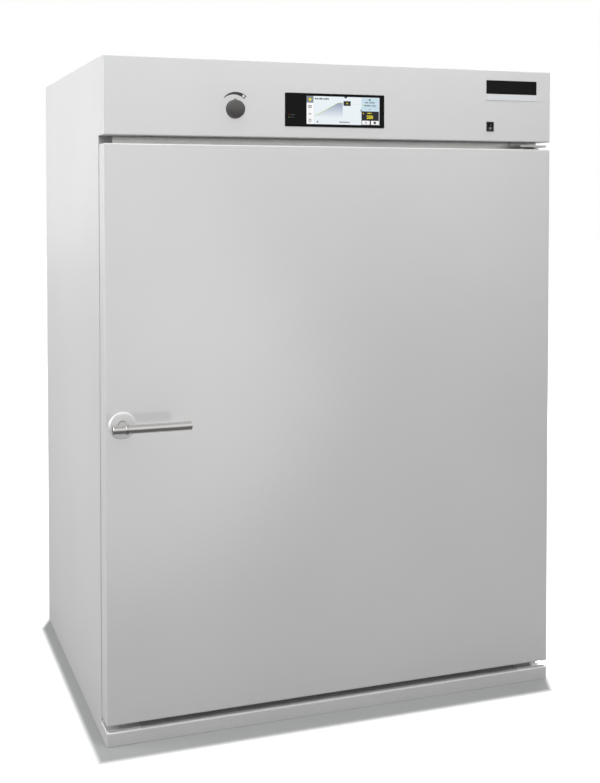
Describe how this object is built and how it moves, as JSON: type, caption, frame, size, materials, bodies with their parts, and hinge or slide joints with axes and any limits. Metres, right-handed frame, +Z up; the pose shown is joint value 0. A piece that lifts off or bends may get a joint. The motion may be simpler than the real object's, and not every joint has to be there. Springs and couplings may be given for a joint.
{
  "type": "drying oven",
  "caption": "Free-standing laboratory drying oven with a right-hung insulated door, lever handle, wire shelves, rear fan, exhaust flap and a touch display in the head fascia.",
  "frame": {"origin": "floor point under the middle of the whole object's footprint, which is also the cabinet's centre", "axes": "+Z up, -Y out of the door, +X to the door's hinge side"},
  "size_m": [1.04, 0.917, 1.42],
  "materials": {
    "casing_paint": "satin powder coat",
    "stainless_sheet": "brushed stainless",
    "stainless_handle": "fine brushed stainless",
    "stainless_wire": "electropolished wire",
    "galvanised_sheet": "zinc-coated sheet",
    "mineral_wool": "fibrous wool",
    "heater_sheath": "heat-tinted sheath",
    "steel_fittings": "bright zinc-plated steel",
    "motor_casting": "cast aluminium",
    "bush_metal": "turned bronze",
    "knob_plastic": "satin moulded plastic",
    "switch_plastic": "satin moulded plastic",
    "housing_plastic": "moulded plastic",
    "display_black": "gloss black glass",
    "screen_lit": "lit panel",
    "plate_black": "printed film",
    "gasket_silicone": "silicone rubber"
  },
  "bodies": {
    "cabinet": {"plinth": "casing_paint", "side_panel_left": "casing_paint", "side_panel_right": "casing_paint", "rear_panel": "casing_paint", "top_cover": "casing_paint", "control_fascia": "casing_paint", "front_frame": "stainless_sheet", "liner_floor": "stainless_sheet", "liner_ceiling": "stainless_sheet", "liner_sides": "stainless_sheet", "liner_rear": "stainless_sheet", "air_baffle": "stainless_sheet", "exhaust_riser": "stainless_sheet", "exhaust_spigot": "stainless_sheet", "fresh_air_tube": "stainless_sheet", "shelf_ladder_left": "stainless_wire", "shelf_ladder_right": "stainless_wire", "base_tray": "galvanised_sheet", "base_runners": "galvanised_sheet", "side_retainers": "galvanised_sheet", "rear_carrier": "galvanised_sheet", "electrics_deck": "galvanised_sheet", "chamber_wool": "mineral_wool", "heater_ring": "heater_sheath", "heater_clips": "steel_fittings", "temperature_probe": "steel_fittings", "hinge_bracket_bottom": "steel_fittings", "hinge_bracket_top": "steel_fittings", "door_rest_plate": "steel_fittings", "latch_keeper": "steel_fittings", "fixing_screws": "steel_fittings", "fan_motor": "motor_casting", "rocker_bezel": "switch_plastic", "display_housing": "housing_plastic", "contactor": "housing_plastic", "terminal_rail": "housing_plastic", "cable_gland": "housing_plastic", "damper_bush": "housing_plastic", "display_glass": "display_black", "display_screen": "screen_lit", "blank_plate": "plate_black"},
    "door": {"door_skin": "casing_paint", "door_liner": "stainless_sheet", "door_wool": "mineral_wool", "door_gasket": "gasket_silicone", "door_bushes": "bush_metal", "handle_rosette": "stainless_handle"},
    "handle": {"handle_grip": "stainless_handle", "handle_neck": "stainless_handle", "latch_spindle": "steel_fittings"},
    "damper": {"damper_rod": "steel_fittings", "damper_flap": "stainless_sheet", "damper_knob": "knob_plastic"},
    "rocker": {"rocker_paddle": "switch_plastic"},
    "fan": {"fan_shaft": "steel_fittings", "fan_impeller": "steel_fittings"},
    "shelf_lower": {"shelf_grid_lower": "stainless_wire"},
    "shelf_middle": {"shelf_grid_middle": "stainless_wire"},
    "shelf_upper": {"shelf_grid_upper": "stainless_wire"}
  },
  "joints": [
    {"name": "door_swing", "type": "hinge", "parent": "cabinet", "child": "door", "pos_m": [0.493, -0.38, 0.642], "axis": [0, 0, 1], "range_deg": [0, 120]},
    {"name": "handle_turn", "type": "hinge", "parent": "door", "child": "handle", "pos_m": [-0.485, -0.42, 0.664], "axis": [0, 1, 0], "range_deg": [0, 45], "stiffness_Nm_per_rad": 1.5, "springref_deg": -20.05},
    {"name": "damper_turn", "type": "hinge", "parent": "cabinet", "child": "damper", "pos_m": [-0.2424, 0, 1.316], "axis": [0, 1, 0], "range_deg": [-45, 45]},
    {"name": "rocker_tip", "type": "hinge", "parent": "cabinet", "child": "rocker", "pos_m": [0.3628, -0.399, 1.2915], "axis": [1, 0, 0], "range_deg": [-16, 0]},
    {"name": "fan_spin", "type": "hinge", "parent": "cabinet", "child": "fan", "pos_m": [0, 0.25, 0.64], "axis": [0, 1, 0], "continuous": true},
    {"name": "shelf_lower_slide", "type": "slide", "parent": "cabinet", "child": "shelf_lower", "axis": [0, -1, 0], "range_m": [0, 0.03]},
    {"name": "shelf_middle_slide", "type": "slide", "parent": "cabinet", "child": "shelf_middle", "axis": [0, -1, 0], "range_m": [0, 0.03]},
    {"name": "shelf_upper_slide", "type": "slide", "parent": "cabinet", "child": "shelf_upper", "axis": [0, -1, 0], "range_m": [0, 0.03]}
  ]
}
